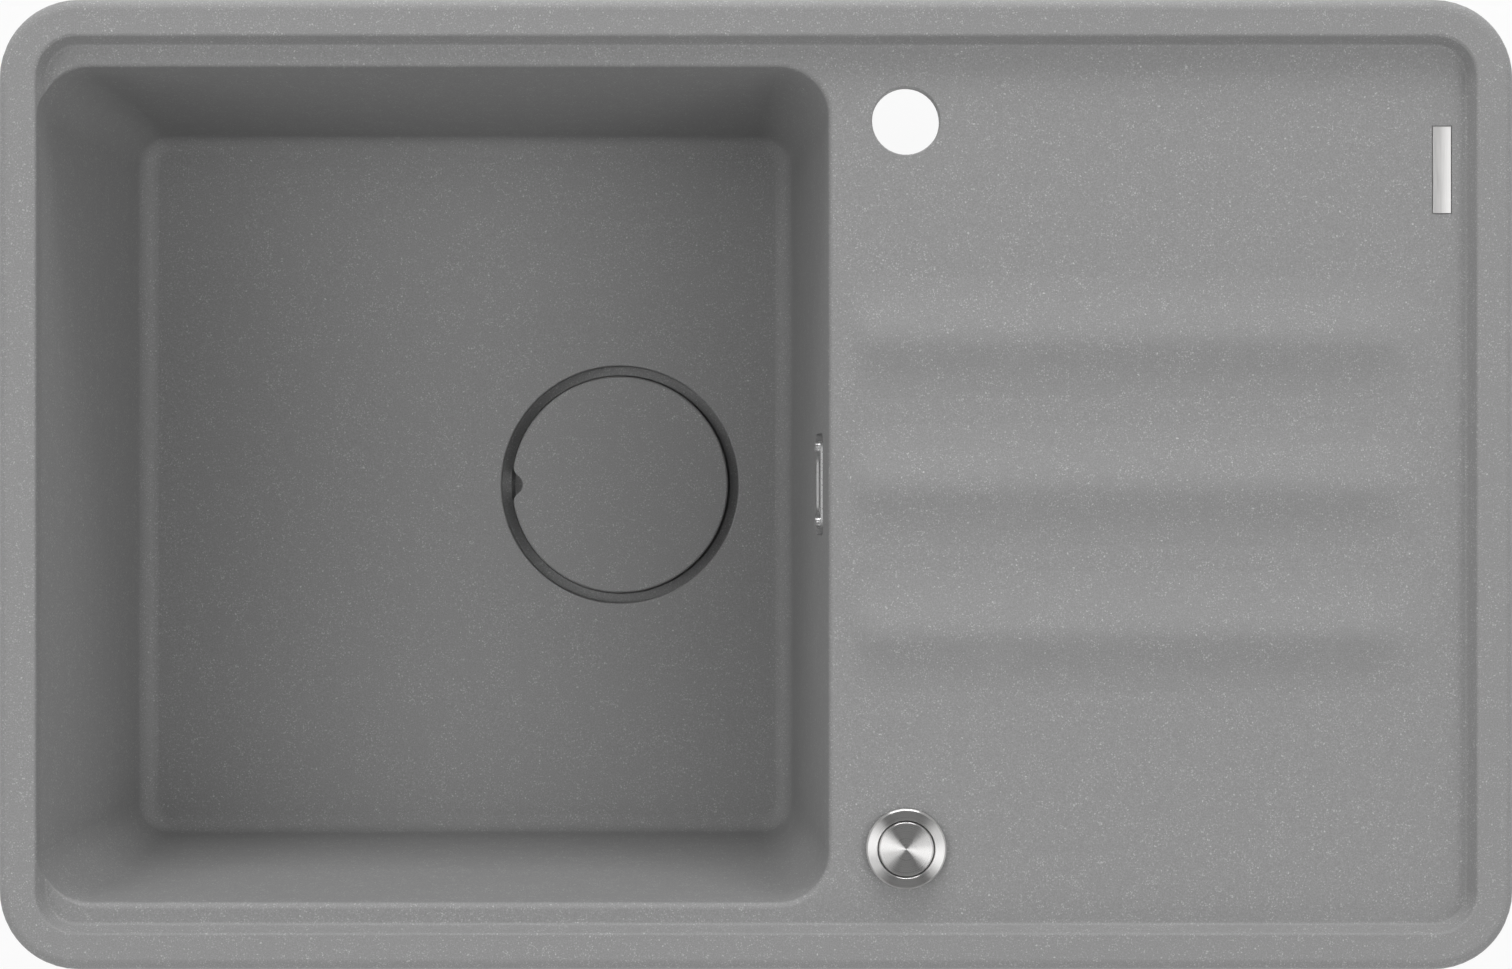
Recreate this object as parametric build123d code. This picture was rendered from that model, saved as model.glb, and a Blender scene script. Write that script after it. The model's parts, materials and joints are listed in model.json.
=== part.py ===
from build123d import *
import os
from math import atan, cos, degrees, exp, radians, sin, sqrt, tan

# Inset composite kitchen sink: one bowl, a drainer, a push-button waste and the fixings underneath.
# Lengths are in millimetres and angles in degrees.
# Origin: centre of the rim's outline, on the plane where the rim rests on the worktop.
# +X points to the drainer, +Y to the back with the tap hole, +Z up.

# Rim, step and deck
rim_length = 780.0
rim_width = 500.0
rim_corner = 41.0
rim_height = 10.0
rim_edge_radius = 6.0
rim_foot_radius = 1.0
rim_land = 19.2
step_depth = 9.0
step_run = 3.6
recess_corner = 21.0
step_edge_radius = 1.6
step_foot_radius = 1.6
deck_thickness = 9.0

# Skirt that drops into the worktop's cut-out, and the ribs under the drainer
skirt_inset = 14.0
skirt_drop = 16.0
skirt_wall = 8.0
skirt_corner = 26.0
rib_thickness = 7.0
rib_columns = 2
rib_rows = 2
pocket_corner = 8.0

# Bowl
bowl_length = 408.2
ledge_width = 10.9
bowl_corner = 26.0
bowl_depth = 187.0
bowl_inset = 17.8
bowl_wall = 9.0
bowl_step_bite = 3.3
lip_radius = 3.5
lip_step = 15
floor_corner = 17.0
floor_fillet = 10.0
floor_fall = 0.012
floor_thickness = 10.0
underside_fillet = 18.0

# Drainer ridges
ridge_count = 3
ridge_pitch = 76.0
ridge_height = 5.0
ridge_spread = 11.5
ridge_rise = 18.0
ridge_fade = 45.0
ridge_from_bowl = 4.0
ridge_from_step = 10.0
ridge_sink = 0.12
ridge_tail = 3.2

# Drain recess and its cover
drain_from_wall = 116.2
drain_recess_radius = 68.5
drain_ledge_radius = 63.5
drain_ledge_depth = 11.0
drain_seat_radius = 61.5
drain_seat_depth = 15.0
drain_seat_thickness = 9.0
drain_hole_radius = 45.0
drain_edge_radius = 0.8
drain_boss_wall = 8.0
cover_radius = 62.25
cover_taper = 3.0
cover_thickness = 8.0
cover_edge = 0.8
notch_radius = 6.3
notch_shoulder = 6.0
cover_foot_radius = 4.0
cover_foot_count = 3

# Strainer waste
gasket_thickness = 2.0
gasket_margin = 1.0
sheet = 1.5
flange_radius = 56.0
flange_bowl_radius = 43.0
flange_depth = 28.5
valve_hole_radius = 23.0
waste_screw_circle = 36.5
waste_screw_count = 3
waste_screw_radius = 2.5
waste_head_radius = 4.0
waste_head_height = 3.0
basket_base_radius = 28.0
basket_mouth_radius = 36.0
basket_height = 15.5
basket_slots = 18
basket_slot_width = 3.0
basket_slot_margin = 3.0
plug_seal_thickness = 3.0
plug_overlap = 3.0
knob_radius = 7.0
knob_neck = 3.5
knob_edge = 1.0
pin_radius = 3.0

# Waste body under the bowl
body_flange_radius = 70.0
body_flange_thickness = 5.0
body_wall = 4.0
neck_gap = 1.0
chamber_radius = 30.0
chamber_below_axle = 9.0
ledge_thickness = 5.0
hub_length = 9.0
hub_radius = 6.0
spider_arm_width = 4.0
spider_arm_height = 7.0
spider_arms = 3
outlet_radius = 23.9
outlet_bore = 20.0
outlet_length = 30.0
outlet_taper = 12.0
screw_tower_radius = 5.0
screw_tower_depth = 18.0
screw_tower_floor = 1.0
axle_boss_radius = 8.0
axle_boss_proud = 1.0
shaft_seal_wall = 2.0
shaft_seal_depth = 2.0
lug_thickness = 6.0
lug_web = 5.0
lug_margin = 4.0
lug_height = 32.0

# Push button and what it drives
press_travel = 8.0
crank_swing = 21.0
finger_length = 20.0
finger_thickness = 5.0
finger_width = 7.0
axle_radius = 3.0
arm_thickness = 3.0
arm_width = 7.5
arm_hub_wall = 3.0
arm_slot_wall = 3.0
arm_gap = 1.0
core_radius = 1.25
core_pin_radius = 1.5
cable_radius = 2.5
cable_socket = 12.0
cable_bend_share = 0.45
ferrule_radius = 4.0
ferrule_length = 24.0
button_radius = 14.25
button_gap = 0.6
button_thickness = 10.0
bezel_radius = 20.65
bezel_height = 4.0
bezel_collar = 8.0
bezel_chamfer = 0.8
bezel_seal_thickness = 0.8
bezel_seal_inset = 1.0
barrel_radius = 16.8
barrel_bore = 12.5
barrel_length = 50.0
barrel_base = 4.0
barrel_nut_radius = 24.0
barrel_nut_height = 8.0
washer_thickness = 1.5
spring_radius = 8.0
spring_wire = 1.2
spring_turns = 7

# Holes in the deck and the bare badge plate
hole_radius = 17.5
hole_chamfer = 0.6
hole_from_bowl = 39.8
hole_from_step = 39.2
badge_length = 44.6
badge_width = 9.2
badge_thickness = 1.2
badge_recess_depth = 0.8
badge_gap = 0.6
badge_crown = 0.35
badge_from_step = 12.7
badge_from_back = 64.6

# Overflow in the bowl's drainer-side wall
overflow_drop = 43.0
overflow_recess_length = 54.0
overflow_recess_height = 31.0
overflow_recess_depth = 4.0
overflow_corner = 4.0
overflow_frame_length = 46.0
overflow_frame_height = 24.0
overflow_frame_proud = 0.6
overflow_frame_chamfer = 1.0
overflow_window_length = 30.0
overflow_window_height = 13.0
overflow_screw_pitch = 39.6
overflow_screw_radius = 1.75
overflow_head_radius = 2.6
overflow_head_height = 1.75
hopper_length = 44.0
hopper_height = 30.0
hopper_depth = 34.0
hopper_wall = 3.0
hopper_corner = 8.0
hopper_mouth_gap = 1.0
hopper_flange_length = 60.0
hopper_flange_height = 42.0
hopper_flange_thickness = 4.0
spigot_length = 26.0
spigot_radius = 14.5
pipe_radius = 12.5
pipe_bore = 10.5
pipe_bend = 40.0
pipe_insert = 15.0
nut_radius = 19.0
nut_length = 17.5
nut_lip = 2.5
pipe_seal_thickness = 3.0

# Rim seal and worktop clamps
seal_inset = 4.0
seal_width = 5.0
seal_thickness = 2.0
clamp_boss_radius = 7.0
clamp_inset = 5.5
clamp_screw_radius = 2.5
clamp_screw_length = 40.0
clamp_head_radius = 4.5
clamp_head_height = 3.0
clamp_arm_length = 38.0
clamp_arm_width = 12.0
clamp_arm_thickness = 2.0
clamp_claw = 8.0
claw_notch_width = 3.0
claw_notch_depth = 2.0
insert_radius = 4.0
insert_length = 10.0
clamp_from_left = 100.0
clamp_from_right = 140.0
clamp_from_back = 130.0

# Clearances
running_gap = 0.05
contact_gap = 0.3
slot_gap = 0.35
thread_gap = 0.05
seat_gap = 0.2
spill = 2.0
wall_cut_reach = 6.0

# Levels and places that follow from the sizes above
deck_z = rim_height - step_depth
deck_under_z = deck_z - deck_thickness
floor_z = deck_z - bowl_depth
foot_inset = rim_land + step_run
bowl_left = -(rim_length / 2 - foot_inset) - bowl_step_bite
bowl_right = bowl_left + bowl_length
bowl_width = rim_width - 2 * (foot_inset + ledge_width)
bowl_x = (bowl_left + bowl_right) / 2
wall_angle = degrees(atan(bowl_inset / bowl_depth))
hole_x = bowl_right + hole_from_bowl
tap_y = rim_width / 2 - foot_inset - hole_from_step
button_y = -tap_y
drain_x = bowl_right - drain_from_wall
seat_z = floor_z - drain_seat_depth
boss_z = seat_z - drain_seat_thickness
lip_z = seat_z + gasket_thickness + sheet
plate_top_z = lip_z - flange_depth
plate_z = plate_top_z - sheet
body_top_z = boss_z - gasket_thickness
plug_z = plate_top_z + plug_seal_thickness
basket_top_z = plug_z + basket_height
hub_top_z = plate_z - contact_gap
hub_bottom_z = hub_top_z - hub_length
pin_bottom_z = hub_bottom_z - press_travel - pin_radius
axle_z = pin_bottom_z - contact_gap - finger_thickness / 2
axle_x = drain_x + finger_length
chamber_bottom_z = axle_z - chamber_below_axle
outlet_top_z = chamber_bottom_z - outlet_taper
outlet_z = outlet_top_z - outlet_length
crank_length = press_travel / 2 / tan(radians(crank_swing / 2))
core_z = axle_z - crank_length
body_radius = chamber_radius + body_wall
axle_boss_end = body_radius + axle_boss_proud
arm_y = -(axle_boss_end + arm_gap + arm_thickness / 2)
core_y = arm_y - arm_thickness / 2 - slot_gap - 2 * core_radius - core_pin_radius
core_pin_x = axle_x + press_travel / 2
lug_x = core_pin_x + press_travel + ferrule_radius
neck_radius = flange_bowl_radius + neck_gap


def outline(length, width, corner, z, x=0.0):
    """Rounded rectangle lying at height z."""
    return Pos(x, 0, z) * RectangleRounded(length, width, corner)


def slab(length, width, corner, low, high, x=0.0):
    return extrude(outline(length, width, corner, low, x), high - low)


def rod(radius, low, high):
    """Upright round bar between two heights."""
    return Pos(0, 0, low) * Cylinder(radius, high - low, align=(Align.CENTER, Align.CENTER, Align.MIN))


def tube(outer, inner, low, high):
    return rod(outer, low, high) - rod(inner, low - spill, high + spill)


def turned(points):
    """Solid of revolution about Z from (radius, height) points."""
    return revolve(make_face(Plane.XZ * Polyline(*points, close=True)), Axis.Z)


def group(shapes):
    return Compound([solid for shape in shapes for solid in shape.solids()])


def around(count, radius, start=0.0):
    """Places on a circle, each turned to face outwards."""
    return [Rot(0, 0, start + 360.0 * n / count) * Pos(radius, 0, 0) for n in range(count)]


# Outlines of the recess and the bowl at any height
def recess_outline(z):
    inset = rim_land + step_run * (rim_height - z) / step_depth
    corner = recess_corner - inset + rim_land
    return outline(rim_length - 2 * inset, rim_width - 2 * inset, corner, z)


def bowl_outline(z, grow=0.0):
    share = (deck_z - z) / bowl_depth
    side = 2 * (grow - bowl_inset * share)
    corner = bowl_corner + (floor_corner - bowl_corner) * share + grow
    return outline(bowl_length + side, bowl_width + side, corner, z, bowl_x)


def lip_outline(turn):
    """Bowl outline along the rounded lip, which opens out on every side but the rim's."""
    z = deck_z - lip_radius * (1 - sin(turn))
    grow = lip_radius * (1 - cos(turn))
    inset = bowl_inset * lip_radius / bowl_depth
    length = bowl_length - 2 * inset + grow
    corner = bowl_corner + grow
    return outline(length, bowl_width - 2 * inset + 2 * grow, corner, z, bowl_x + grow / 2)


def bowl_cavity():
    """The bowl's hollow, with its floor falling to the drain on a shallow cone."""
    reach = rim_length
    low = floor_z - drain_recess_radius * floor_fall
    floor_cone = Pos(drain_x, 0, 0) * turned(
        [(0, low), (reach, low + reach * floor_fall), (reach, low - reach), (0, low - reach)]
    )
    below = floor_z - floor_thickness / 2
    lip_steps = [lip_outline(radians(angle)) for angle in range(0, 90 + lip_step, lip_step)]
    walls = loft([bowl_outline(below), lip_steps[0]], ruled=True) - floor_cone
    foot = walls.edges().filter_by(lambda edge: edge.bounding_box().max.Z < floor_z + floor_fillet)
    walls = fillet(foot, floor_fillet)
    mouth = extrude(lip_steps[-1], step_depth + spill)
    return walls + loft(lip_steps, ruled=True) + mouth


def ridge(y):
    """One soft drainer ridge, sunk a little so that it meets the deck at a clear angle."""
    start = bowl_right + lip_radius + ridge_from_bowl
    end = rim_length / 2 - foot_inset - ridge_from_step
    half = ridge_tail * ridge_spread
    count_along = 44
    count_across = 24

    def ease(share):
        share = min(max(share, 0.0), 1.0)
        return share * share * (3 - 2 * share)

    def height(x, offset):
        along = ease((x - start) / ridge_rise) * ease((end - x) / ridge_fade)
        across = exp(-((offset / ridge_spread) ** 2) / 2)
        return deck_z + (ridge_height + ridge_sink) * along * across - ridge_sink

    points = []
    for i in range(count_along + 1):
        x = start + (end - start) * i / count_along
        row = []
        for j in range(count_across + 1):
            offset = half * (2 * j / count_across - 1)
            row.append((x, y + offset, height(x, offset)))
        points.append(row)
    top = Face.make_surface_from_array_of_points(points, tol=0.003)
    return Solid.extrude(top, Vector(0, 0, -deck_thickness / 2))


def clamp_stations():
    """Places of the worktop clamps and the way each arm points when it is tucked in."""
    back = rim_width / 2 - skirt_inset - clamp_inset
    side = rim_length / 2 - skirt_inset - clamp_inset
    left = clamp_from_left - rim_length / 2
    right = rim_length / 2 - clamp_from_right
    row = rim_width / 2 - clamp_from_back
    columns = (left, (left + right) / 2, right)
    stations = [(x, back, 0.0) for x in columns]
    stations += [(x, -back, 180.0) for x in columns]
    stations += [(side, y, 270.0) for y in (row, -row)]
    return stations


def drainer_pockets():
    """Hollows under the drainer, with ribs left between them."""
    x_low = bowl_right
    x_high = rim_length / 2 - skirt_inset - skirt_wall
    y_high = rim_width / 2 - skirt_inset - skirt_wall
    length = (x_high - x_low - rib_thickness * (rib_columns - 1)) / rib_columns
    width = (2 * y_high - rib_thickness * (rib_rows - 1)) / rib_rows
    cells = []
    for column in range(rib_columns):
        for row in range(rib_rows):
            x = x_low + length / 2 + column * (length + rib_thickness)
            y = -y_high + width / 2 + row * (width + rib_thickness)
            cell = slab(length, width, pocket_corner, -skirt_drop - spill, deck_under_z)
            cells.append(Pos(x, y, 0) * cell)
    return cells


# Overflow: a plane on the wall's bowl side, its normal pointing into the bowl, local Y up the wall
overflow_z = deck_z - overflow_drop
overflow_x = bowl_right - bowl_inset * overflow_drop / bowl_depth
wall_normal = (-cos(radians(wall_angle)), 0, sin(radians(wall_angle)))
wall_plane = Plane(origin=(overflow_x, 0, overflow_z), x_dir=(0, -1, 0), z_dir=wall_normal)
wall_depth = bowl_wall * cos(radians(wall_angle))
hopper_depth_start = wall_depth + gasket_thickness


def on_wall(sketch, depth_from, depth_to):
    """Extrude a sketch through the wall between two depths measured from the bowl side."""
    return extrude(wall_plane.offset(-depth_to) * sketch, depth_to - depth_from)


def overflow_screw_holes(radius):
    return [Pos(side * overflow_screw_pitch / 2, 0) * Circle(radius) for side in (-1, 1)]


def overflow_cut():
    """Recess for the frame and a slot right through, long enough for the two screws to pass."""
    recess = RectangleRounded(overflow_recess_length, overflow_recess_height, overflow_corner)
    slot_length = overflow_screw_pitch + 2 * (overflow_screw_radius + seat_gap)
    slot = RectangleRounded(slot_length, overflow_window_height, overflow_corner)
    cut = on_wall(recess, -wall_cut_reach, overflow_recess_depth)
    return cut + on_wall(slot, -wall_cut_reach, wall_depth + wall_cut_reach)


def sink_basin():
    rim = slab(rim_length, rim_width, rim_corner, 0, rim_height)
    rim = fillet(rim.edges().group_by(Axis.Z)[-1], rim_edge_radius)
    rim = fillet(rim.edges().group_by(Axis.Z)[0], rim_foot_radius)
    recess = loft([recess_outline(deck_z), recess_outline(rim_height + spill)], ruled=True)
    recess = fillet(recess.edges().group_by(Axis.Z)[0], step_foot_radius)
    body = rim - recess
    body = fillet(body.faces().sort_by(Axis.Z)[-1].inner_wires()[0].edges(), step_edge_radius)

    skirt_size = (rim_length - 2 * skirt_inset, rim_width - 2 * skirt_inset, skirt_corner)
    skirt = slab(*skirt_size, -skirt_drop, deck_z / 2) - drainer_pockets()
    for x, y, _ in clamp_stations():
        skirt += Pos(x, y, 0) * rod(clamp_boss_radius, -skirt_drop, deck_z / 2)
    skirt = skirt & slab(*skirt_size, -skirt_drop, deck_z)
    underside = bowl_outline(floor_z - floor_thickness, bowl_wall)
    shell = loft([underside, bowl_outline(0, bowl_wall)], ruled=True)
    shell = fillet(shell.edges().group_by(Axis.Z)[0], underside_fillet)
    shell = shell & slab(*skirt_size, floor_z - floor_thickness, deck_z)
    boss = rod(drain_recess_radius + drain_boss_wall, boss_z, floor_z - floor_thickness / 2)
    body = body + skirt + shell + Pos(drain_x, 0, 0) * boss + [ridge(y) for y in ridge_places()]

    drain = turned(
        [
            (0, seat_z),
            (drain_seat_radius, seat_z),
            (drain_ledge_radius, floor_z - drain_ledge_depth),
            (drain_recess_radius, floor_z - drain_ledge_depth),
            (drain_recess_radius, floor_z + spill),
            (0, floor_z + spill),
        ]
    )
    drain += rod(drain_hole_radius, boss_z - spill, seat_z + spill)
    body = body - bowl_cavity() - Pos(drain_x, 0, 0) * drain
    drain_rim = (drain_x + drain_recess_radius, 0, floor_z)
    edge = body.edges().filter_by(GeomType.CIRCLE).sort_by_distance(drain_rim)[0]
    body = fillet(edge, drain_edge_radius)

    cuts = [overflow_cut(), badge_recess(), seal_ring()]
    for y in (tap_y, button_y):
        hole = rod(hole_radius, deck_under_z - spill, deck_z + spill)
        hole += turned(
            [
                (0, deck_z - hole_chamfer),
                (hole_radius, deck_z - hole_chamfer),
                (hole_radius + 2 * hole_chamfer, deck_z + hole_chamfer),
                (0, deck_z + hole_chamfer),
            ]
        )
        cuts.append(Pos(hole_x, y, 0) * hole)
    for x, y, _ in clamp_stations():
        cuts.append(Pos(x, y, 0) * rod(insert_radius, -skirt_drop - spill, -skirt_drop + insert_length))
    return body - cuts


def ridge_places():
    return [ridge_pitch * (n - (ridge_count - 1) / 2) for n in range(ridge_count)]


def badge_place():
    x = rim_length / 2 - foot_inset - badge_from_step
    y = rim_width / 2 - foot_inset - badge_from_back
    return Pos(x, y, deck_z - badge_recess_depth)


def badge_recess():
    size = (badge_width + 2 * badge_gap, badge_length + 2 * badge_gap, 2 * badge_thickness)
    return badge_place() * Box(*size, align=(Align.CENTER, Align.CENTER, Align.MIN))


def badge_plate():
    """Plain plate with a slightly crowned face."""
    half = badge_width / 2
    side = badge_thickness - badge_crown
    profile = Plane.XZ * make_face(
        [
            Polyline((-half, side), (-half, 0), (half, 0), (half, side)),
            ThreePointArc((half, side), (0, badge_thickness), (-half, side)),
        ]
    )
    return badge_place() * extrude(profile, badge_length / 2, both=True)


def seal_ring():
    outer = (rim_length - 2 * seal_inset, rim_width - 2 * seal_inset, rim_corner - seal_inset)
    inset = seal_inset + seal_width
    inner = (rim_length - 2 * inset, rim_width - 2 * inset, rim_corner - inset)
    return slab(*outer, 0, seal_thickness) - slab(*inner, -spill, seal_thickness + spill)


# Drain cover and the strainer waste under it
def drain_cover():
    disc = Circle(cover_radius) - Pos(-cover_radius, 0) * Circle(notch_radius)
    corners = disc.vertices().sort_by(Axis.X)[:2]
    disc = fillet(corners, notch_shoulder)
    plate = extrude(Pos(0, 0, -cover_thickness) * disc, cover_thickness)
    plate = plate & turned(
        [
            (0, -cover_thickness),
            (cover_radius - cover_taper, -cover_thickness),
            (cover_radius, -cover_edge),
            (cover_radius - cover_edge, 0),
            (0, 0),
        ]
    )
    return Pos(drain_x, 0, floor_z) * plate


def cover_feet():
    middle = (flange_bowl_radius + flange_radius) / 2
    foot = rod(cover_foot_radius, lip_z, floor_z - cover_thickness)
    return group([Pos(drain_x, 0, 0) * place * foot for place in around(cover_foot_count, middle, 60.0)])


def flange_gasket():
    ring = tube(flange_radius, drain_hole_radius + gasket_margin, seat_z, seat_z + gasket_thickness)
    return Pos(drain_x, 0, 0) * ring


def waste_screw_places():
    return around(waste_screw_count, waste_screw_circle, 90.0)


def waste_flange():
    inner = flange_bowl_radius - sheet
    shell = turned(
        [
            (inner, lip_z),
            (flange_radius, lip_z),
            (flange_radius, lip_z - sheet),
            (flange_bowl_radius, lip_z - sheet),
            (flange_bowl_radius, plate_z),
            (valve_hole_radius, plate_z),
            (valve_hole_radius, plate_top_z),
            (inner, plate_top_z),
        ]
    )
    for place in waste_screw_places():
        shell -= place * rod(waste_screw_radius + seat_gap, plate_z - spill, plate_top_z + spill)
    return Pos(drain_x, 0, 0) * shell


def socket_screw(radius, head_radius, head_height, length):
    """Screw standing on Z = 0 under its head, with a hexagon socket."""
    socket = Pos(0, 0, head_height / 2) * extrude(RegularPolygon(head_radius / 2, 6), head_height)
    return rod(radius, -length, 0) + rod(head_radius, 0, head_height) - socket


def waste_screws():
    length = sheet + screw_tower_depth - 2 * screw_tower_floor
    screw = Pos(0, 0, plate_top_z) * socket_screw(
        waste_screw_radius - thread_gap, waste_head_radius, waste_head_height, length
    )
    return group([Pos(drain_x, 0, 0) * place * screw for place in waste_screw_places()])


def waste_gasket():
    inner = drain_hole_radius + gasket_margin
    outer = body_flange_radius - gasket_margin
    return Pos(drain_x, 0, 0) * tube(outer, inner, body_top_z, boss_z)


def strainer_basket():
    top = basket_top_z
    cup = turned(
        [
            (0, plug_z),
            (basket_base_radius, plug_z),
            (basket_mouth_radius, top - sheet),
            (basket_mouth_radius + sheet, top - sheet),
            (basket_mouth_radius + sheet, top),
            (basket_mouth_radius - sheet, top),
            (basket_base_radius - sheet, plug_z + sheet),
            (0, plug_z + sheet),
        ]
    )
    middle = (basket_base_radius + basket_mouth_radius) / 2
    slot_height = basket_height - 2 * basket_slot_margin
    slot = Pos(0, 0, plug_z + basket_height / 2) * Box(2 * middle, basket_slot_width, slot_height)
    return Pos(drain_x, 0, 0) * (cup - [place * slot for place in around(basket_slots, middle)])


def strainer_knob():
    low = plug_z + sheet
    high = basket_top_z
    return Pos(drain_x, 0, 0) * turned(
        [
            (0, low),
            (knob_neck + knob_edge, low),
            (knob_neck, low + knob_neck),
            (knob_neck, high - knob_neck - knob_edge),
            (knob_radius, high - knob_neck),
            (knob_radius, high - knob_edge),
            (knob_radius - knob_edge, high),
            (0, high),
        ]
    )


def plug_seal():
    radius = valve_hole_radius + plug_overlap
    return Pos(drain_x, 0, 0) * tube(radius, pin_radius, plate_top_z, plug_z)


def lifter_pin():
    pin = rod(pin_radius, pin_bottom_z + pin_radius, plug_z)
    tip = Pos(0, 0, pin_bottom_z + pin_radius) * Sphere(pin_radius)
    return Pos(drain_x, 0, 0) * (pin + tip)


def cross_rod(radius, y_from, y_to):
    """Round bar along Y on the crank's axle line."""
    low = min(y_from, y_to)
    return Pos(axle_x, low, axle_z) * Rot(-90, 0, 0) * rod(radius, 0, abs(y_to - y_from))


# Overflow pipe connections
inlet_z = (plate_z - ledge_thickness + chamber_bottom_z) / 2
inlet_x = drain_x + body_radius + spigot_length
pipe_x = overflow_x + (hopper_depth_start + hopper_depth / 2)
hopper_floor_z = overflow_z - hopper_height / 2
spigot_end_z = hopper_floor_z - spigot_length


def waste_body():
    ledge_z = plate_z - ledge_thickness
    shell = turned(
        [
            (neck_radius, body_top_z),
            (body_flange_radius, body_top_z),
            (body_flange_radius, body_top_z - body_flange_thickness),
            (neck_radius + body_wall, body_top_z - body_flange_thickness),
            (neck_radius + body_wall, ledge_z),
            (body_radius, ledge_z),
            (body_radius, chamber_bottom_z),
            (outlet_radius, outlet_top_z),
            (outlet_radius, outlet_z),
            (outlet_bore, outlet_z),
            (outlet_bore, outlet_top_z),
            (chamber_radius, chamber_bottom_z),
            (chamber_radius, plate_z),
            (neck_radius, plate_z),
        ]
    )
    spider = rod(hub_radius, hub_bottom_z, hub_top_z)
    reach = chamber_radius + body_wall / 2
    arm_middle = hub_top_z - spider_arm_height / 2
    arm = Pos(reach / 2, 0, arm_middle) * Box(reach, spider_arm_width, spider_arm_height)
    spider += [place * arm for place in around(spider_arms, 0, 60.0)]
    tower = rod(screw_tower_radius, plate_z - screw_tower_depth, plate_z)
    shell += [place * tower for place in waste_screw_places()]
    spigot = rod(spigot_radius, 0, spigot_length + body_wall / 2)
    shell += Pos(body_radius - body_wall / 2, 0, inlet_z) * Rot(0, 90, 0) * spigot
    shell += spider - rod(pin_radius + running_gap, hub_bottom_z - spill, hub_top_z + spill)
    shell = Pos(drain_x, 0, 0) * shell

    wall_y = sqrt(chamber_radius**2 - finger_length**2)
    shell += cross_rod(axle_boss_radius, wall_y, axle_boss_end)
    shell += cross_rod(axle_boss_radius, -wall_y, -axle_boss_end)
    shell += cable_lug()

    passage = Pos(drain_x + chamber_radius - spill, 0, inlet_z) * Rot(0, 90, 0)
    shell -= passage * rod(pipe_bore, 0, body_wall + spigot_length + 2 * spill)
    socket = rod(pipe_radius + running_gap, 0, pipe_insert + spill)
    shell -= Pos(inlet_x - pipe_insert, 0, inlet_z) * Rot(0, 90, 0) * socket
    for place in waste_screw_places():
        bore = rod(waste_screw_radius, plate_z - screw_tower_depth + screw_tower_floor, plate_z + spill)
        shell -= Pos(drain_x, 0, 0) * place * bore
    shell -= cross_rod(axle_radius + running_gap, -axle_boss_end - spill, axle_boss_end - body_wall)
    seal_seat = -axle_boss_end + shaft_seal_depth
    shell -= cross_rod(axle_radius + shaft_seal_wall, -axle_boss_end - spill, seal_seat)
    return shell


def cable_lug():
    """Moulded ear on the waste body that holds the cable's lower end."""
    web_y = -(spigot_radius + lug_thickness)
    web_face = web_y + lug_web / 2
    ear_end = core_y - ferrule_radius - lug_margin
    ear_x = lug_x + lug_thickness
    web_x = drain_x + sqrt(chamber_radius**2 - web_y**2) + body_wall / 2
    high = chamber_bottom_z + lug_height
    low = core_z - ferrule_radius - lug_margin
    web = Box(ear_x - web_x, lug_web, lug_height)
    ear = Box(lug_thickness, web_face - ear_end, high - low)
    lug = Pos((web_x + ear_x) / 2, web_y, (high + chamber_bottom_z) / 2) * web
    lug += Pos((lug_x + ear_x) / 2, (web_face + ear_end) / 2, (high + low) / 2) * ear
    hole = rod(ferrule_radius, -spill, lug_thickness + spill)
    return lug - Pos(lug_x, core_y, core_z) * Rot(0, 90, 0) * hole


def shaft_seal():
    ring = cross_rod(axle_radius + shaft_seal_wall, -axle_boss_end, -axle_boss_end + shaft_seal_depth)
    return ring - cross_rod(axle_radius + running_gap, -axle_boss_end - spill, 0)


def crank_shaft():
    end = axle_boss_end - body_wall - contact_gap
    shaft = cross_rod(axle_radius, arm_y - arm_thickness / 2, end)
    shaft += cross_rod(axle_radius + finger_thickness / 2, -finger_width / 2, finger_width / 2)
    reach = finger_length + pin_radius
    shaft += Pos(axle_x - reach / 2, 0, axle_z) * Box(reach, finger_width, finger_thickness)
    tip = Pos(axle_x - reach, 0, axle_z) * Rot(90, 0, 0) * Cylinder(finger_thickness / 2, finger_width)
    return shaft + tip


def crank_arm():
    """Outer lever, leaning half its swing towards the cable at rest, with a slot for the cable's hook."""
    hub = axle_radius + arm_hub_wall
    slope = crank_length / cos(radians(crank_swing / 2))
    slot_middle = (crank_length + slope) / 2
    slot_width = 2 * (core_pin_radius + slot_gap)
    slot_length = slot_width + (slope - crank_length) + slot_gap
    end = slot_width / 2 + arm_slot_wall
    plate = Circle(hub) + Pos(0, -slot_middle) * Circle(end)
    plate += Pos(0, -slot_middle / 2) * Rectangle(arm_width, slot_middle)
    plate -= Circle(axle_radius)
    plate -= Pos(0, -slot_middle) * Rot(0, 0, 90) * SlotOverall(slot_length, slot_width)
    blade = extrude(Plane.XZ * plate, arm_thickness / 2, both=True)
    return Pos(axle_x, arm_y, axle_z) * Rot(0, -crank_swing / 2, 0) * blade


def cable_core():
    """Bare end of the inner wire with its hook through the lever's slot."""
    back = lug_x + lug_thickness + contact_gap
    hook_end = arm_y + arm_thickness / 2 + slot_gap
    wire = Rot(0, 90, 0) * rod(core_radius, 0, back - core_pin_x)
    hook = Rot(-90, 0, 0) * rod(core_pin_radius, -core_radius, hook_end - core_y)
    return Pos(core_pin_x, core_y, core_z) * (wire + hook)


def ferrule(length, free_bore, free_length, depth):
    """Sleeve along Z with a free bore at the low end and the cable's socket at the high end."""
    sleeve = rod(ferrule_radius, 0, length) - rod(free_bore, -spill, free_length)
    return sleeve - rod(cable_radius, length - depth, length + spill)


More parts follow.
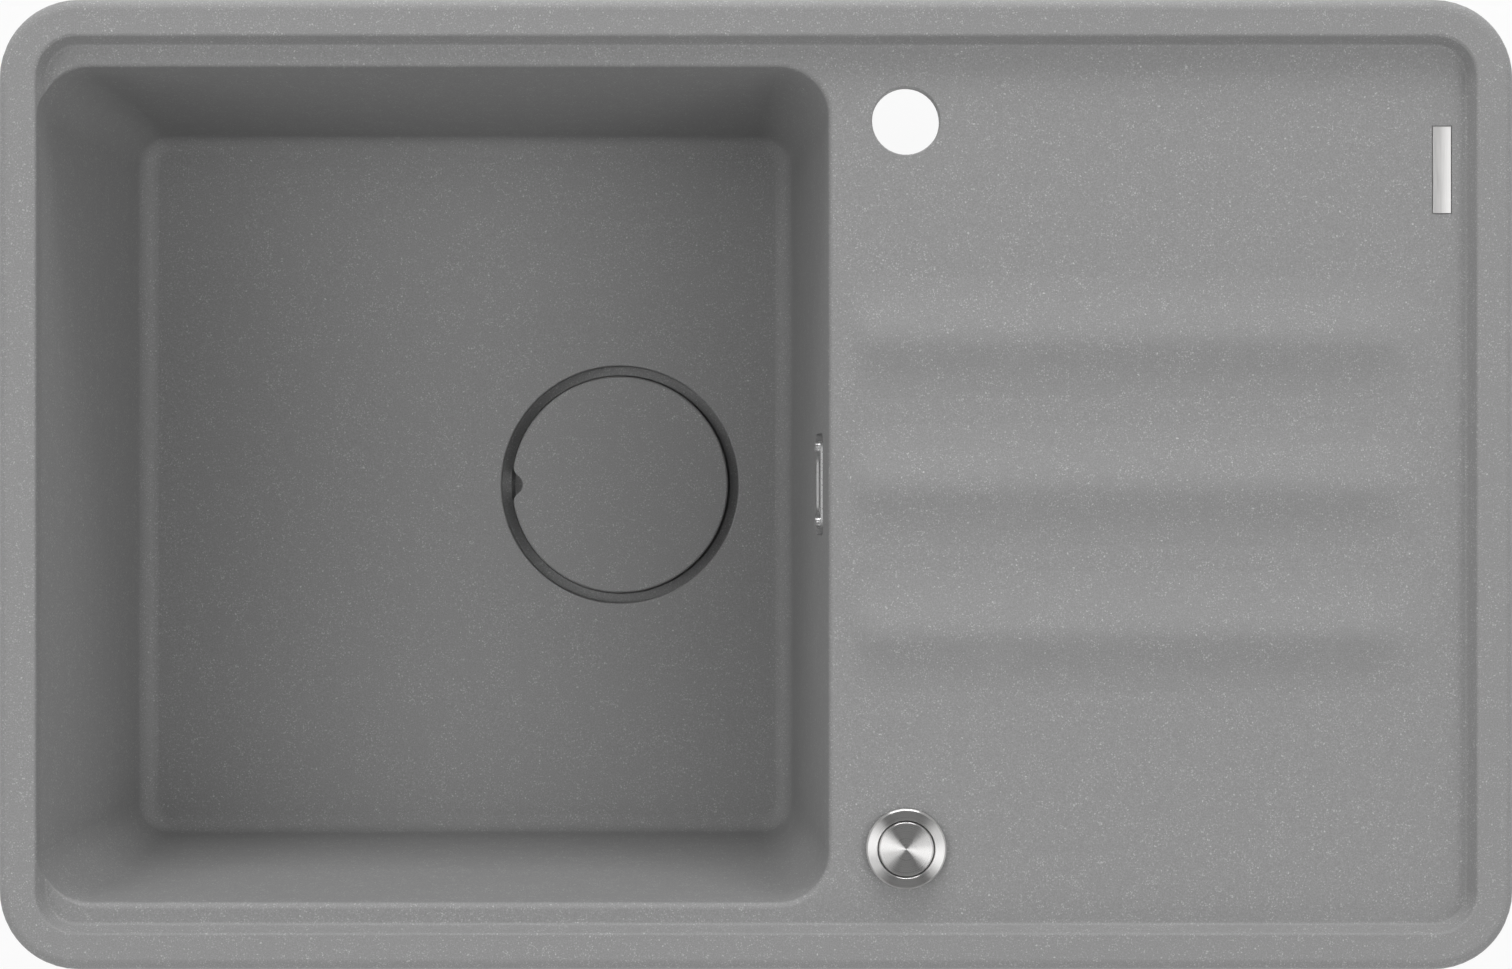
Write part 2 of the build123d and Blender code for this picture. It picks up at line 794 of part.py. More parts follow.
# Push button in the deck
bezel_low_z = deck_z + bezel_seal_thickness
bezel_top_z = bezel_low_z + bezel_height
collar_z = bezel_low_z - bezel_collar
barrel_z = bezel_low_z - barrel_length
barrel_floor_z = barrel_z + barrel_base
cap_low_z = bezel_top_z - button_thickness
collar_radius = button_radius + button_gap
collar_outer = (collar_radius + barrel_radius) / 2
cap_well_z = cap_low_z - press_travel - contact_gap
top_ferrule_free = press_travel + contact_gap


def cable_ferrules():
    top = Pos(hole_x, button_y, barrel_z) * Rot(180, 0, 0) * ferrule(
        ferrule_length, pin_radius + running_gap, top_ferrule_free + spill, cable_socket
    )
    low = Pos(lug_x, core_y, core_z) * Rot(0, 90, 0) * ferrule(
        ferrule_length, core_radius + running_gap, ferrule_length - cable_socket + spill, cable_socket
    )
    return group([top, low])


def cable_route():
    """Points of the cable from the button's sleeve down and under the bowl to the waste's ear."""
    top = barrel_z - ferrule_length
    end = lug_x + ferrule_length
    return [
        (hole_x, button_y, top + cable_socket),
        (hole_x, button_y, top - 45.0),
        (hole_x - 4.5, button_y + 12.0, top - 101.0),
        (hole_x - 15.5, button_y + 42.0, top - 153.0),
        (end + 60.5, core_y - 56.7, core_z + 14.2),
        (end + 38.5, core_y - 18.7, core_z + 1.2),
        (end + 14.0, core_y, core_z),
        (end - cable_socket, core_y, core_z),
    ]


def control_cable():
    points = [Vector(*point) for point in cable_route()]
    radii = []
    for before, corner, after in zip(points, points[1:], points[2:]):
        turn = (corner - before).get_angle(after - corner)
        shorter = min((corner - before).length, (after - corner).length)
        radii.append(cable_bend_share * shorter / tan(radians(turn / 2)))
    print("cable radii", [round(radius, 1) for radius in radii])
    path = FilletPolyline(*points, radius=radii)
    print("cable length", round(path.length, 1))
    return sweep(Plane(origin=path @ 0, z_dir=path % 0) * Circle(cable_radius), path)


def button_cap():
    return Pos(hole_x, button_y, 0) * turned(
        [
            (0, cap_low_z),
            (button_radius, cap_low_z),
            (button_radius, bezel_top_z - bezel_chamfer),
            (button_radius - bezel_chamfer, bezel_top_z),
            (0, bezel_top_z),
        ]
    )


def button_rod():
    return Pos(hole_x, button_y, 0) * rod(pin_radius, barrel_z, cap_low_z)


def return_spring():
    """Compression spring from the barrel's floor to the cap's underside."""
    low = barrel_floor_z + spring_wire / 2
    height = cap_low_z - barrel_floor_z - spring_wire
    path = Helix(pitch=height / spring_turns, height=height, radius=spring_radius)
    section = Plane(origin=path @ 0, z_dir=path % 0) * Circle(spring_wire / 2)
    return Pos(hole_x, button_y, low) * sweep(section, path, is_frenet=True)


def button_bezel():
    return Pos(hole_x, button_y, 0) * turned(
        [
            (collar_radius, collar_z),
            (collar_outer, collar_z),
            (collar_outer, bezel_low_z),
            (bezel_radius, bezel_low_z),
            (bezel_radius, bezel_top_z - bezel_chamfer),
            (bezel_radius - bezel_chamfer, bezel_top_z),
            (collar_radius + bezel_chamfer / 2, bezel_top_z),
            (collar_radius, bezel_top_z - bezel_chamfer / 2),
        ]
    )


def button_barrel():
    return Pos(hole_x, button_y, 0) * turned(
        [
            (pin_radius + running_gap, barrel_z),
            (barrel_radius, barrel_z),
            (barrel_radius, bezel_low_z),
            (collar_outer, bezel_low_z),
            (collar_outer, collar_z),
            (collar_radius, collar_z),
            (collar_radius, cap_well_z),
            (barrel_bore, cap_well_z),
            (barrel_bore, barrel_floor_z),
            (pin_radius + running_gap, barrel_floor_z),
        ]
    )


def bezel_seal():
    ring = tube(bezel_radius - bezel_seal_inset, barrel_radius, deck_z, bezel_low_z)
    return Pos(hole_x, button_y, 0) * ring


def barrel_washer():
    low = deck_under_z - washer_thickness
    return Pos(hole_x, button_y, 0) * tube(barrel_nut_radius, barrel_radius, low, deck_under_z)


def barrel_nut():
    high = deck_under_z - washer_thickness
    low = high - barrel_nut_height
    nut = extrude(Pos(0, 0, low) * RegularPolygon(barrel_nut_radius, 6), barrel_nut_height)
    return Pos(hole_x, button_y, 0) * (nut - rod(barrel_radius, low - spill, high + spill))


# Overflow fittings
def overflow_frame():
    front = -overflow_frame_proud
    ring = RectangleRounded(overflow_frame_length, overflow_frame_height, overflow_corner)
    ring -= RectangleRounded(overflow_window_length, overflow_window_height, overflow_corner)
    ring -= Sketch() + overflow_screw_holes(overflow_screw_radius + seat_gap)
    frame = on_wall(ring, front, overflow_recess_depth)
    face = frame.faces().sort_by(Axis(wall_plane.origin, wall_plane.z_dir))[-1]
    window = max(face.inner_wires(), key=lambda wire: wire.length)
    return chamfer(face.outer_wire().edges() + window.edges(), overflow_frame_chamfer)


def overflow_screws():
    length = overflow_frame_proud + wall_depth + gasket_thickness + hopper_flange_thickness
    screw = socket_screw(overflow_screw_radius, overflow_head_radius, overflow_head_height, length)
    face = wall_plane.offset(overflow_frame_proud)
    places = [Pos(side * overflow_screw_pitch / 2, 0, 0) for side in (-1, 1)]
    return group([face.location * place * screw for place in places])


def overflow_gasket():
    plate = RectangleRounded(hopper_flange_length, hopper_flange_height, hopper_corner)
    mouth_length = overflow_window_length + 2 * hopper_mouth_gap
    mouth_height = overflow_window_height + 2 * hopper_mouth_gap
    plate -= RectangleRounded(mouth_length, mouth_height, overflow_corner)
    plate -= Sketch() + overflow_screw_holes(overflow_screw_radius + seat_gap)
    return on_wall(plate, wall_depth, hopper_depth_start)


def overflow_body():
    """Hopper behind the wall that takes the water down into the overflow pipe."""
    start = hopper_depth_start
    flange = RectangleRounded(hopper_flange_length, hopper_flange_height, hopper_corner)
    hopper = RectangleRounded(hopper_length, hopper_height, hopper_corner)
    body = on_wall(flange, start, start + hopper_flange_thickness)
    body += on_wall(hopper, start, start + hopper_depth)
    body += Pos(pipe_x, 0, 0) * rod(spigot_radius, spigot_end_z, overflow_z)
    cavity_length = overflow_window_length + 2 * hopper_mouth_gap
    cavity = RectangleRounded(cavity_length, hopper_height - 2 * hopper_wall, overflow_corner)
    body -= on_wall(cavity, start - spill, start + hopper_depth - hopper_wall)
    body -= Pos(pipe_x, 0, 0) * rod(pipe_bore, spigot_end_z - spill, overflow_z)
    socket = rod(pipe_radius + running_gap, spigot_end_z - spill, spigot_end_z + pipe_insert)
    body -= Pos(pipe_x, 0, 0) * socket
    for hole in overflow_screw_holes(overflow_screw_radius):
        body -= on_wall(hole, start - spill, start + hopper_flange_thickness + spill)
    return body


def overflow_pipe():
    path = FilletPolyline(
        (pipe_x, 0, spigot_end_z + pipe_insert),
        (pipe_x, 0, inlet_z),
        (inlet_x - pipe_insert, 0, inlet_z),
        radius=pipe_bend,
    )
    section = Circle(pipe_radius) - Circle(pipe_bore)
    return sweep(Plane(origin=path @ 0, z_dir=path % 0) * section, path)


def pipe_ends():
    """Frames at the two spigots' mouths, each with Z pointing out along the pipe."""
    return [
        Pos(pipe_x, 0, spigot_end_z) * Rot(180, 0, 0),
        Pos(inlet_x, 0, inlet_z) * Rot(0, 90, 0),
    ]


def overflow_nuts():
    mouth = pipe_seal_thickness + nut_lip
    nut = extrude(Pos(0, 0, mouth - nut_length) * RegularPolygon(nut_radius, 8), nut_length)
    nut -= rod(spigot_radius, mouth - nut_length - spill, pipe_seal_thickness)
    nut -= rod(pipe_radius + seat_gap, 0, mouth + spill)
    return group([end * nut for end in pipe_ends()])


def pipe_seals():
    return group([end * tube(spigot_radius, pipe_radius, 0, pipe_seal_thickness) for end in pipe_ends()])


# Worktop clamps
clamp_head_z = -skirt_drop + insert_length - clamp_screw_length


def clamp_arm(station):
    x, y, heading = station
    half = clamp_arm_width / 2
    low = clamp_head_z + seat_gap
    plate = Circle(half) + Pos(clamp_arm_length / 2, 0) * Rectangle(clamp_arm_length, clamp_arm_width)
    plate -= Circle(clamp_screw_radius + seat_gap)
    arm = extrude(Pos(0, 0, low) * plate, clamp_arm_thickness)
    claw = Pos(clamp_arm_length - clamp_arm_thickness / 2, 0, low + clamp_claw / 2) * Box(
        clamp_arm_thickness, clamp_arm_width, clamp_claw
    )
    notch = Box(2 * clamp_arm_thickness, claw_notch_width, 2 * claw_notch_depth)
    claw -= Pos(clamp_arm_length - clamp_arm_thickness / 2, 0, low + clamp_claw) * notch
    return Pos(x, y, 0) * Rot(0, 0, heading) * (arm + claw)


def clamp_screws():
    screw = Rot(180, 0, 0) * socket_screw(
        clamp_screw_radius - thread_gap, clamp_head_radius, clamp_head_height, clamp_screw_length
    )
    return group([Pos(x, y, clamp_head_z) * screw for x, y, _ in clamp_stations()])


def clamp_inserts():
    insert = tube(insert_radius, clamp_screw_radius, -skirt_drop, -skirt_drop + insert_length)
    return group([Pos(x, y, 0) * insert for x, y, _ in clamp_stations()])


def build_nodes():
    makers = [
        sink_basin,
        badge_plate,
        drain_cover,
        cover_feet,
        waste_flange,
        flange_gasket,
        waste_gasket,
        waste_body,
        waste_screws,
        strainer_basket,
        strainer_knob,
        plug_seal,
        lifter_pin,
        crank_shaft,
        crank_arm,
        shaft_seal,
        cable_core,
        cable_ferrules,
        control_cable,
        button_cap,
        button_rod,
        return_spring,
        button_bezel,
        button_barrel,
        bezel_seal,
        barrel_washer,
        barrel_nut,
        overflow_frame,
        overflow_screws,
        overflow_gasket,
        overflow_body,
        overflow_pipe,
        overflow_nuts,
        pipe_seals,
        clamp_screws,
        clamp_inserts,
    ]
    nodes = {maker.__name__: maker() for maker in makers}
    nodes["rim_seal"] = seal_ring()
    for number, station in enumerate(clamp_stations(), start=1):
        nodes[f"clamp_arm_{number}"] = clamp_arm(station)
    return nodes


os.makedirs("parts", exist_ok=True)
for name, shape in build_nodes().items():
    export_step(shape, f"parts/{name}.step")
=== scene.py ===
import json
from math import radians

import bpy
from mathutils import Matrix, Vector


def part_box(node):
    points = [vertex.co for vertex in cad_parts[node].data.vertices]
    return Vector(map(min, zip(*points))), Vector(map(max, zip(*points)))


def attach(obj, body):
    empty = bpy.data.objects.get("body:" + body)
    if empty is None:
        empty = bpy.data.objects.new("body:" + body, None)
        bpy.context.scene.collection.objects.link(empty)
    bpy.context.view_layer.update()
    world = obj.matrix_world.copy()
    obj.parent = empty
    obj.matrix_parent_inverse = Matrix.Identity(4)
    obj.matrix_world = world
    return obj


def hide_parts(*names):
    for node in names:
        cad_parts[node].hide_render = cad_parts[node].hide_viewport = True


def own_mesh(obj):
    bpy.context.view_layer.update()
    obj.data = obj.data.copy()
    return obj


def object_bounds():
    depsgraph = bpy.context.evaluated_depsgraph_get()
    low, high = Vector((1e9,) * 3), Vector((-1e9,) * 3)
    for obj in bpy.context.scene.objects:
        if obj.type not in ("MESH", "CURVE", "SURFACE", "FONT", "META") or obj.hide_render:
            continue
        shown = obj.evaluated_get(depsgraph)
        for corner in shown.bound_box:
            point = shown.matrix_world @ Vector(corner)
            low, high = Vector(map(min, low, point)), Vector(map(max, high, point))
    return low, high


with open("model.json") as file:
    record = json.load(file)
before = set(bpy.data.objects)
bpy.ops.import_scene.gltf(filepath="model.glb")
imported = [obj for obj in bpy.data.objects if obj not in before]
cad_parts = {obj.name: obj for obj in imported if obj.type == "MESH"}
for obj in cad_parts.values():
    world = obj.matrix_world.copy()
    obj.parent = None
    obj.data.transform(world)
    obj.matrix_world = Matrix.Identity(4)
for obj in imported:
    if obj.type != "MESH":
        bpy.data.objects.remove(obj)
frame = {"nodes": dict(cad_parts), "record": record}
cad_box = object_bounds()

# Looks of an inset composite sink, in metres, in the same frame as the model:
# +X to the drainer, +Y to the back, +Z up, origin on the plane where the rim rests on the worktop.

# The photo's camera looks straight down, and the rim's outline just fills the frame
RIM_LENGTH = 0.780
OUTLINE_BELOW_TOP = 0.006
CAMERA_ABOVE_OUTLINE = 1.612
SENSOR_WIDTH = 36.0
WHITE = (1.0, 1.0, 1.0, 1.0)

# Studio light: a pale horizon, a dimmer dome and two fans of light at the sides
HORIZON_LIGHT = 0.6
HORIZON_SHARE = 0.5
FRONT_BACK_LIGHT = 0.4
DOME_LIGHT = 0.07
FAN_LIGHT = 2.6
FAN_TURN = 8.5
FAN_SLOPE = 0.62
FAN_EDGE = 0.05

# Heights on the unit sky between which each light changes, 0 at the horizon and 1 overhead
HORIZON_RISE = (0.0, 0.3)
FRONT_BACK_END = (0.5, 0.7)
HORIZON_END = (0.55, 0.75)
FAN_START = (0.60, 0.72)
FAN_END = (0.975, 0.995)

# Softbox behind the sink, and the floor under it
SOFTBOX_PLACE = (0.0, 3.6, 1.15)
SOFTBOX_SIZE = (3.5, 1.0)
SOFTBOX_POWER = 76.0
FLOOR_SIZE = 60.0
FLOOR_GLOW = 0.88

# Composite: texture scales per metre, reach and height in metres, strengths of the flecks, and greys
GRAIN_SCALE = 1500.0
PATCH_SCALE = 110.0
WAVER_SCALE = 420.0
WAVER_REACH = 0.0022
FINE_FLECK_SCALE = 1100.0
FINE_FLECK_STRENGTH = 0.5
LARGE_FLECK_SCALE = 640.0
LARGE_FLECK_STRENGTH = 0.7
GRAIN_DARK = 0.236
GRAIN_LIGHT = 0.306
GRAIN_HEIGHT = 0.00012
FLECK_GREY = 0.66

# Ranges that textures are mapped from and to; most of a noise texture's values lie in NOISE
NOISE = (0.3, 0.7)
RISE = (0.0, 1.0)
FALL = (1.0, 0.0)


def middle(node):
    low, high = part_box(node)
    return (low + high) / 2


class Nodes:
    """Small helper that adds nodes to one node tree and links them."""

    def __init__(self, tree, place):
        self.tree = tree
        self.place = self.node("ShaderNodeTexCoord").outputs[place]

    def node(self, kind, **settings):
        made = self.tree.nodes.new(kind)
        for key, value in settings.items():
            setattr(made, key, value)
        return made

    def link(self, source, target):
        self.tree.links.new(source, target)

    def moved(self, centre, scale=(1.0, 1.0, 1.0)):
        """Object coordinates measured from a centre and stretched."""
        shift = self.node("ShaderNodeMapping", vector_type="TEXTURE")
        shift.inputs["Location"].default_value = centre
        shift.inputs["Scale"].default_value = [1.0 / factor for factor in scale]
        self.link(self.place, shift.inputs["Vector"])
        return shift.outputs["Vector"]

    def noise(self, scale, detail=2.0, place=None, rough=0.5):
        made = self.node("ShaderNodeTexNoise")
        made.inputs["Scale"].default_value = scale
        made.inputs["Detail"].default_value = detail
        made.inputs["Roughness"].default_value = rough
        self.link(place or self.place, made.inputs["Vector"])
        return made.outputs["Fac"]

    def span(self, value, given, wanted):
        """Map a value from a given range to a wanted one, clamped."""
        made = self.node("ShaderNodeMapRange")
        for socket, number in zip(made.inputs[1:5], (*given, *wanted)):
            socket.default_value = number
        self.link(value, made.inputs["Value"])
        return made.outputs["Result"]

    def math(self, operation, first, second):
        made = self.node("ShaderNodeMath", operation=operation)
        for socket, value in zip(made.inputs, (first, second)):
            if isinstance(value, (int, float)):
                socket.default_value = value
            else:
                self.link(value, socket)
        return made.outputs["Value"]

    def mix(self, share, first, second):
        """Mix two colours, each a socket or a plain colour."""
        made = self.node("ShaderNodeMix", data_type="RGBA")
        self.link(share, made.inputs["Factor"])
        for name, colour in (("A", first), ("B", second)):
            socket = next(s for s in made.inputs if s.name == name and s.type == "RGBA")
            if isinstance(colour, tuple):
                socket.default_value = colour
            else:
                self.link(colour, socket)
        return next(s for s in made.outputs if s.type == "RGBA")


class Shader(Nodes):
    """Nodes of one material around its surface shader."""

    def __init__(self, name):
        self.material = bpy.data.materials.new(name)
        self.material.use_nodes = True
        super().__init__(self.material.node_tree, "Object")
        self.surface = self.tree.nodes["Principled BSDF"]

    def set(self, **values):
        """Set plain values on the shader's own sockets, with spaces in a name given as underscores."""
        for key, value in values.items():
            self.surface.inputs[key.replace("_", " ")].default_value = value

    def colour(self, socket):
        self.link(socket, self.surface.inputs["Base Color"])

    def roughness(self, socket):
        self.link(socket, self.surface.inputs["Roughness"])

    def bump(self, height, distance, strength):
        made = self.node("ShaderNodeBump")
        made.inputs["Strength"].default_value = strength
        made.inputs["Distance"].default_value = distance
        self.link(height, made.inputs["Height"])
        self.link(made.outputs["Normal"], self.surface.inputs["Normal"])


def grey(value, warm=0.0):
    return (value * (1 + warm), value, value * (1 - warm), 1.0)


# Materials
def composite():
    """Moulded stone composite: fine grey grain with scattered pale mineral flecks."""
    shader = Shader("composite")
    shader.set(Specular_IOR_Level=0.35)
    waver = shader.node("ShaderNodeTexNoise")
    waver.inputs["Scale"].default_value = WAVER_SCALE
    shader.link(shader.place, waver.inputs["Vector"])
    bent = shader.node("ShaderNodeVectorMath", operation="MULTIPLY_ADD")
    bent.inputs[1].default_value = (WAVER_REACH, WAVER_REACH, WAVER_REACH)
    shader.link(waver.outputs["Color"], bent.inputs[0])
    shader.link(shader.place, bent.inputs[2])
    place = bent.outputs["Vector"]

    def flecks(scale, sizes, faint):
        """Round flecks of mixed size and brightness, more of them faint where the last value is high."""
        cells = shader.node("ShaderNodeTexVoronoi")
        cells.inputs["Scale"].default_value = scale
        shader.link(place, cells.inputs["Vector"])
        parts = shader.node("ShaderNodeSeparateColor")
        shader.link(cells.outputs["Color"], parts.inputs["Color"])
        reach = shader.span(parts.outputs["Red"], RISE, sizes)
        near = shader.math("DIVIDE", cells.outputs["Distance"], reach)
        spot = shader.span(near, (0.5, 1.0), FALL)
        bright = shader.math("POWER", parts.outputs["Green"], faint)
        return shader.math("MULTIPLY", spot, bright)

    grain = shader.noise(GRAIN_SCALE)
    patches = shader.span(shader.noise(PATCH_SCALE), (0.36, 0.62), (0.15, 1.0))
    base = shader.mix(shader.span(grain, NOISE, RISE), grey(GRAIN_DARK), grey(GRAIN_LIGHT))
    fine = flecks(FINE_FLECK_SCALE, sizes=(0.15, 0.62), faint=1.0)
    fine = shader.math("MULTIPLY", fine, patches)
    fine = shader.math("MULTIPLY", fine, FINE_FLECK_STRENGTH)
    large = flecks(LARGE_FLECK_SCALE, sizes=(0.05, 0.36), faint=3.0)
    large = shader.math("MULTIPLY", large, LARGE_FLECK_STRENGTH)
    shader.colour(shader.mix(shader.math("MAXIMUM", fine, large), base, grey(FLECK_GREY)))
    shader.roughness(shader.span(grain, (0.2, 0.8), (0.5, 0.62)))
    shader.bump(grain, distance=GRAIN_HEIGHT, strength=0.5)
    return shader.material


def spun_steel():
    """Turned stainless steel: fine rings about the button's axis and a fan-shaped sheen."""
    shader = Shader("spun_steel")
    shader.set(Metallic=1.0, Anisotropic=1.0, Anisotropic_Rotation=0.25)
    centred = shader.moved(middle("button_cap"))
    flat = shader.node("ShaderNodeVectorMath", operation="MULTIPLY")
    flat.inputs[1].default_value = (1.0, 1.0, 0.0)
    shader.link(centred, flat.inputs[0])
    radius = shader.node("ShaderNodeVectorMath", operation="LENGTH")
    shader.link(flat.outputs["Vector"], radius.inputs[0])
    rings = shader.node("ShaderNodeTexNoise", noise_dimensions="1D")
    rings.inputs["Scale"].default_value = 6000.0
    rings.inputs["Detail"].default_value = 3.0
    shader.link(radius.outputs["Value"], rings.inputs["W"])
    shader.colour(shader.mix(rings.outputs["Fac"], grey(0.56, 0.01), grey(0.68, 0.01)))
    shader.roughness(shader.span(rings.outputs["Fac"], NOISE, (0.27, 0.33)))
    tangent = shader.node("ShaderNodeTangent", direction_type="RADIAL", axis="Z")
    shader.link(tangent.outputs["Tangent"], shader.surface.inputs["Tangent"])
    return shader.material


def brushed(name, dark, light, rough, stretch):
    """Metal with a fine grain, which runs along the direction of least stretch if there is one."""
    shader = Shader(name)
    shader.set(Metallic=1.0)
    stretched = shader.moved((0, 0, 0), stretch)
    lines = shader.noise(scale=1.0, detail=4.0, place=stretched, rough=0.6)
    shader.colour(shader.mix(shader.span(lines, NOISE, RISE), dark, light))
    shader.roughness(shader.span(lines, NOISE, rough))
    shader.bump(lines, distance=0.00002, strength=0.4)
    return shader.material


def badge_steel():
    return brushed(
        "badge_steel",
        dark=grey(0.58, 0.01),
        light=grey(0.70, 0.01),
        rough=(0.36, 0.48),
        stretch=(4000.0, 60.0, 4000.0),
    )


def waste_steel():
    return brushed(
        "waste_steel",
        dark=grey(0.58),
        light=grey(0.72),
        rough=(0.24, 0.36),
        stretch=(900.0, 900.0, 900.0),
    )


def spring_steel():
    return brushed(
        "spring_steel",
        dark=grey(0.40),
        light=grey(0.52),
        rough=(0.29, 0.41),
        stretch=(2500.0, 2500.0, 2500.0),
    )


def zinc_steel():
    """Zinc-plated steel with a faint bluish spangle."""
    shader = Shader("zinc_steel")
    shader.set(Metallic=1.0)
    spangle = shader.node("ShaderNodeTexVoronoi")
    spangle.inputs["Scale"].default_value = 450.0
    shader.link(shader.place, spangle.inputs["Vector"])
    parts = shader.node("ShaderNodeSeparateColor")
    shader.link(spangle.outputs["Color"], parts.inputs["Color"])
    shader.colour(shader.mix(parts.outputs["Red"], (0.50, 0.52, 0.55, 1.0), (0.66, 0.67, 0.68, 1.0)))
    shader.roughness(shader.span(parts.outputs["Green"], RISE, (0.3, 0.46)))
    shader.bump(shader.noise(scale=1800.0), distance=0.00002, strength=0.4)
    return shader.material


def chrome_trim():
    shader = Shader("chrome_trim")
    shader.set(Metallic=1.0)
    haze = shader.noise(scale=700.0, detail=3.0)
    shader.colour(shader.mix(haze, grey(0.80), grey(0.88)))
    shader.roughness(shader.span(haze, NOISE, (0.26, 0.34)))
    return shader.material


def brass_insert():
    shader = Shader("brass_insert")
    shader.set(Metallic=1.0)
    stain = shader.noise(scale=500.0, detail=3.0)
    shader.colour(shader.mix(stain, (0.62, 0.44, 0.17, 1.0), (0.78, 0.60, 0.30, 1.0)))
    shader.roughness(shader.span(stain, NOISE, (0.28, 0.44)))
    return shader.material


def moulded(name, dark, light, rough):
    """Moulded plastic: slight flow shading and a fine spark-eroded texture."""
    shader = Shader(name)
    shader.set(Specular_IOR_Level=0.45)
    flow = shader.noise(scale=31.2, detail=3.0)
    texture = shader.noise(scale=2600.0)
    shader.colour(shader.mix(shader.span(flow, NOISE, RISE), dark, light))
    shader.roughness(shader.span(texture, NOISE, rough))
    shader.bump(texture, distance=0.00003, strength=0.4)
    return shader.material


def white_plastic():
    dark = (0.72, 0.72, 0.70, 1.0)
    light = (0.80, 0.80, 0.785, 1.0)
    return moulded("white_plastic", dark, light, rough=(0.37, 0.47))


def grey_plastic():
    return moulded("grey_plastic", dark=grey(0.15), light=grey(0.2), rough=(0.45, 0.55))


def cable_jacket():
    return moulded("cable_jacket", dark=grey(0.035), light=grey(0.055), rough=(0.40, 0.50))


def black_rubber():
    shader = Shader("black_rubber")
    shader.set(Specular_IOR_Level=0.3)
    dust = shader.noise(scale=140.0, detail=4.0)
    texture = shader.noise(scale=2200.0)
    shader.colour(shader.mix(shader.span(dust, (0.4, 0.8), RISE), grey(0.028), grey(0.05)))
    shader.roughness(shader.span(texture, NOISE, (0.7, 0.85)))
    shader.bump(texture, distance=0.00005, strength=0.5)
    return shader.material


def dress_nodes():
    """Give every piece the material of its slot in the record."""
    makers = [
        composite,
        spun_steel,
        badge_steel,
        chrome_trim,
        waste_steel,
        zinc_steel,
        spring_steel,
        brass_insert,
        white_plastic,
        grey_plastic,
        cable_jacket,
        black_rubber,
    ]
    materials = {maker.__name__: maker() for maker in makers}
    for part in frame["record"]["subparts"]:
        mesh = frame["nodes"][part["node"]].data
        mesh.materials.clear()
        mesh.materials.append(materials[part["material_slot"]])


def add_spring():
    """The return spring as a piece of its own."""
    node = frame["nodes"]["return_spring"]
    coil = bpy.data.objects.new("return_coil", node.data.copy())
    bpy.context.scene.collection.objects.link(coil)
    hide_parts("return_spring")
    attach(coil, "sink")
    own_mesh(coil)


# Stage, light and camera
def add_floor():
    """Pale floor under the outlet: near white to the eye, with the object's shadow on it."""
    bpy.ops.mesh.primitive_plane_add(size=FLOOR_SIZE, location=(0, 0, cad_box[0].z))
    floor = bpy.context.object
    floor.name = "floor"
    shader = Shader("floor")
    shader.set(Base_Color=grey(0.82), Roughness=0.9, Specular_IOR_Level=0.1)
    path = shader.node("ShaderNodeLightPath")
    seen = shader.math("MAXIMUM", path.outputs["Is Camera Ray"], path.outputs["Is Glossy Ray"])
    seen = shader.math("MAXIMUM", seen, path.outputs["Is Transmission Ray"])
    glow = shader.node("ShaderNodeEmission")
    glow.inputs["Color"].default_value = WHITE
    blend = shader.node("ShaderNodeMixShader")
    shader.link(shader.math("MULTIPLY", seen, FLOOR_GLOW), blend.inputs["Fac"])
    shader.link(shader.surface.outputs["BSDF"], blend.inputs[1])
    shader.link(glow.outputs["Emission"], blend.inputs[2])
    shader.link(blend.outputs["Shader"], shader.tree.nodes["Material Output"].inputs["Surface"])
    floor.data.materials.append(shader.material)


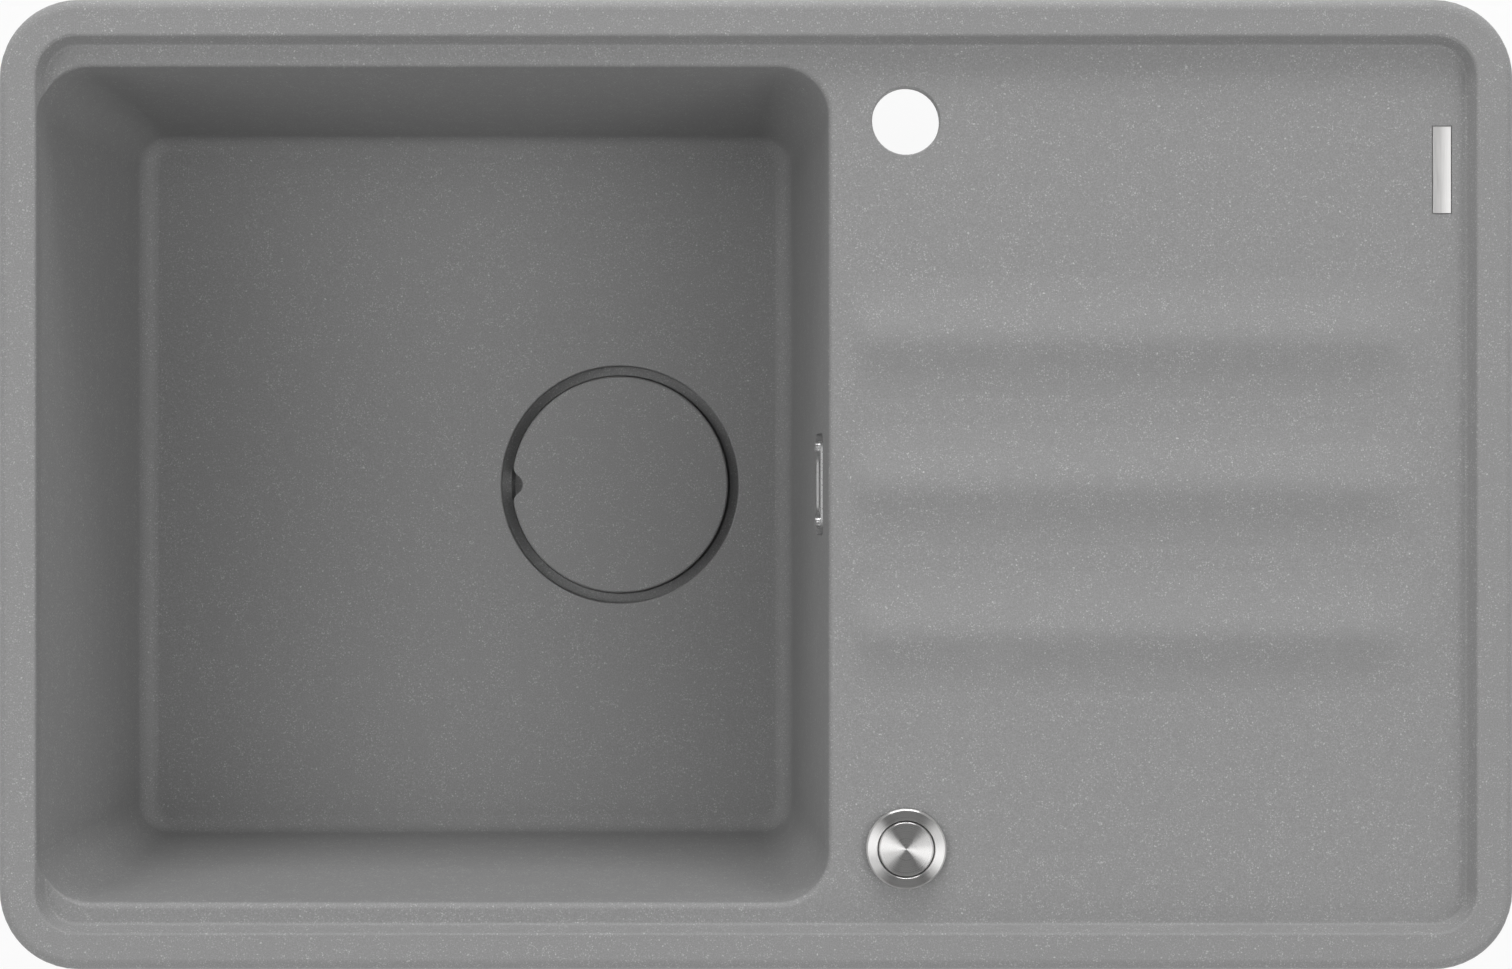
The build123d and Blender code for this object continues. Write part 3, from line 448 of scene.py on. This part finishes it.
def add_world():
    """Studio dome: a pale band along the horizon, and two large fans of light high up left and right."""
    world = bpy.data.worlds.new("dome")
    bpy.context.scene.world = world
    world.use_nodes = True
    sky = Nodes(world.node_tree, "Generated")
    parts = sky.node("ShaderNodeSeparateXYZ")
    sky.link(sky.place, parts.inputs["Vector"])
    height = parts.outputs["Z"]
    turned = sky.node("ShaderNodeVectorRotate", rotation_type="Z_AXIS")
    turned.inputs["Angle"].default_value = radians(FAN_TURN)
    sky.link(sky.place, turned.inputs["Vector"])
    flat = sky.node("ShaderNodeSeparateXYZ")
    sky.link(turned.outputs["Vector"], flat.inputs["Vector"])
    slope = sky.math("DIVIDE", flat.outputs["Y"], flat.outputs["X"])
    slope = sky.math("ABSOLUTE", slope, 0.0)
    sideways = sky.span(slope, (FAN_SLOPE - FAN_EDGE, FAN_SLOPE + FAN_EDGE), FALL)
    fan = sky.math("MULTIPLY", sideways, sky.span(height, FAN_START, (0.0, FAN_LIGHT)))
    fan = sky.math("MULTIPLY", fan, sky.span(height, FAN_END, FALL))
    band = sky.span(height, HORIZON_END, (HORIZON_LIGHT, DOME_LIGHT))
    extra = sky.span(slope, (FAN_SLOPE, 2 * FAN_SLOPE), (0.0, FRONT_BACK_LIGHT))
    extra = sky.math("MULTIPLY", extra, sky.span(height, FRONT_BACK_END, FALL))
    low = sky.math("ADD", band, extra)
    low = sky.math("MULTIPLY", low, sky.span(height, HORIZON_RISE, (HORIZON_SHARE, 1.0)))
    light = sky.math("ADD", low, fan)
    back = world.node_tree.nodes["Background"]
    back.inputs["Color"].default_value = WHITE
    sky.link(light, back.inputs["Strength"])


def add_softbox(name, place, size, power):
    light = bpy.data.lights.new(name, "AREA")
    light.shape = "RECTANGLE"
    light.size, light.size_y = size
    light.energy = power
    lamp = bpy.data.objects.new(name, light)
    lamp.location = place
    lamp.rotation_mode = "QUATERNION"
    lamp.rotation_quaternion = (-Vector(place)).to_track_quat("-Z", "Y")
    bpy.context.scene.collection.objects.link(lamp)


def add_camera():
    camera = bpy.data.cameras.new("camera")
    camera.sensor_width = SENSOR_WIDTH
    camera.lens = SENSOR_WIDTH * CAMERA_ABOVE_OUTLINE / RIM_LENGTH
    eye = bpy.data.objects.new("camera", camera)
    eye.location = (0.0, 0.0, cad_box[1].z - OUTLINE_BELOW_TOP + CAMERA_ABOVE_OUTLINE)
    bpy.context.scene.collection.objects.link(eye)
    bpy.context.scene.camera = eye


dress_nodes()
add_spring()
add_floor()
add_world()
add_softbox("back_softbox", SOFTBOX_PLACE, SOFTBOX_SIZE, SOFTBOX_POWER)
add_camera()
bpy.context.scene.view_settings.view_transform = "Standard"
